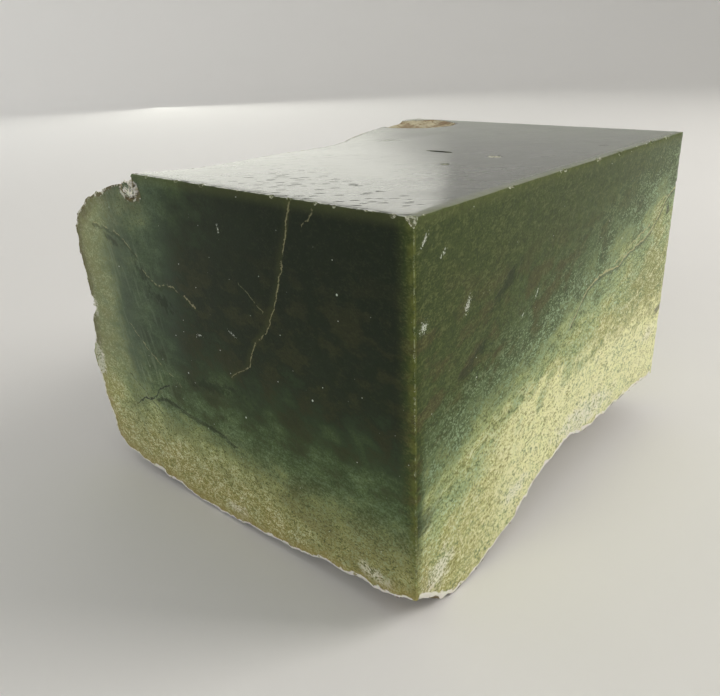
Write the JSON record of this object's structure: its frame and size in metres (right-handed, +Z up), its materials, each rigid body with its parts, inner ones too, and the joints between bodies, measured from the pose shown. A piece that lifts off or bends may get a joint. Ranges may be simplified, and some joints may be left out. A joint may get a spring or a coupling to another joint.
{
  "type": "raw jade boulder",
  "caption": "Corner block of a raw nephrite jade boulder, sawn flat on its ends, long side and top, with natural rind on the other side and below, standing on its rind.",
  "frame": {"origin": "centre of the bounding box's base, on the surface that the block stands on", "axes": "+X along the long sawn face, from the sawn end face to the sawn back end; -Y out of the long sawn face; +Y towards the rind; +Z up, out of the sawn top"},
  "size_m": [0.14, 0.1354, 0.1],
  "materials": {
    "jade": "satin"
  },
  "bodies": {
    "root": {"jade_boulder": "jade"}
  },
  "joints": []
}
